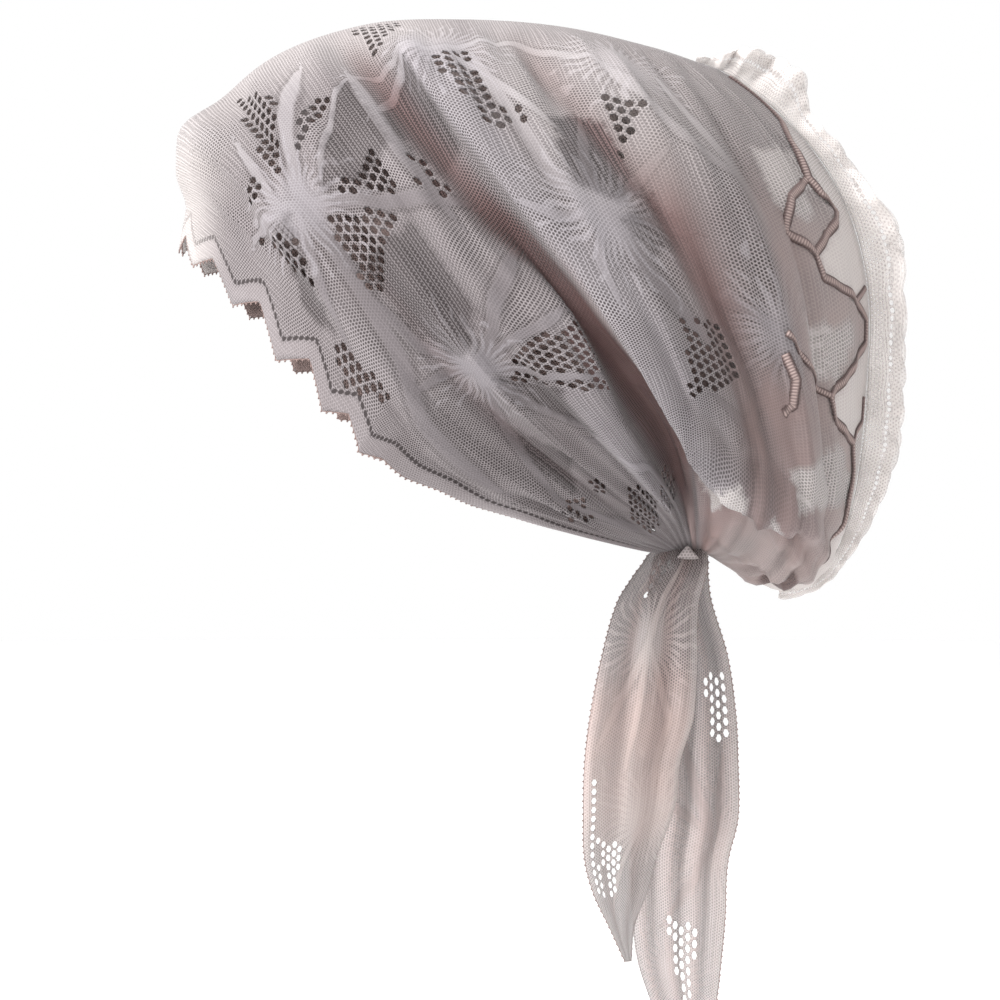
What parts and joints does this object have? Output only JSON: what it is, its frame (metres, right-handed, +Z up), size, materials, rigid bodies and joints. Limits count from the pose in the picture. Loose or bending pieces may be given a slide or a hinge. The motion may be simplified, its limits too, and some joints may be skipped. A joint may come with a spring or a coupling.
{
  "type": "chemo turban",
  "caption": "Pre-tied stretch-lace head wrap: hollow folded cap gathered at the nape, ruffled centre-back frill and hanging ties.",
  "frame": {"origin": "middle of the head seat inside the cap, where a head holds it up", "axes": "+Z up, the face side towards -Y, the wearer's left towards +X"},
  "size_m": [0.1752, 0.2647, 0.3796],
  "materials": {
    "lace": "grey-mauve stretch lace with eyelets, matt",
    "frill_lace": "pale sheer lace, matt",
    "tie_lace": "grey-mauve sheer lace, matt"
  },
  "bodies": {
    "root": {"cap": "lace", "back_frill": "frill_lace", "nape_knot": "lace", "tie_left": "tie_lace", "tie_right": "tie_lace"}
  },
  "joints": []
}
